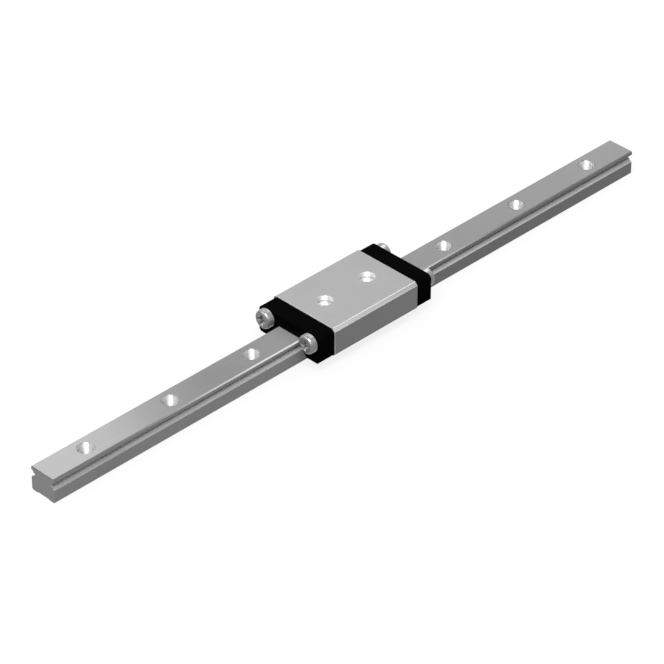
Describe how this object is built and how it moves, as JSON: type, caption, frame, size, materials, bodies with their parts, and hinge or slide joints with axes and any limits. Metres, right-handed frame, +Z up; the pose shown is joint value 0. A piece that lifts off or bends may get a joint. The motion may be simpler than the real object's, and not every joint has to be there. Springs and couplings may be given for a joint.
{
  "type": "linear guide",
  "caption": "Miniature ball linear guide: a slim grooved rail and a long steel carriage that slides along it, with black end caps held by small screws.",
  "frame": {"origin": "middle of the rail's base, on the surface that the rail is bolted to", "axes": "+X along the rail, +Y across it to the left, +Z up out of the mounting surface; the end towards -X is called front"},
  "size_m": [0.075, 0.008, 0.004],
  "materials": {
    "rail_steel": "ground",
    "block_steel": "ground",
    "cap_plastic": "satin moulded",
    "seal_rubber": "matt",
    "screw_steel": "bright plated",
    "guide_plastic": "smooth moulded",
    "wire_steel": "drawn",
    "ball_steel": "polished"
  },
  "bodies": {
    "rail": {"rail": "rail_steel"},
    "carriage": {"carriage_block": "block_steel", "end_cap_front": "cap_plastic", "end_cap_rear": "cap_plastic", "end_seal_front": "seal_rubber", "end_seal_rear": "seal_rubber", "cap_screw_front_left": "screw_steel", "cap_screw_front_right": "screw_steel", "cap_screw_rear_left": "screw_steel", "cap_screw_rear_right": "screw_steel", "turn_guide_front_left": "guide_plastic", "turn_guide_front_right": "guide_plastic", "turn_guide_rear_left": "guide_plastic", "turn_guide_rear_right": "guide_plastic", "ball_wire_left": "wire_steel", "ball_wire_right": "wire_steel", "balls_left_loaded": "ball_steel", "balls_left_return": "ball_steel", "balls_left_front_turn": "ball_steel", "balls_left_rear_turn": "ball_steel", "balls_right_loaded": "ball_steel", "balls_right_return": "ball_steel", "balls_right_front_turn": "ball_steel", "balls_right_rear_turn": "ball_steel"}
  },
  "joints": [
    {"name": "carriage_slide", "type": "slide", "parent": "rail", "child": "carriage", "axis": [1, 0, 0], "range_m": [-0.0289, 0.0299]}
  ]
}
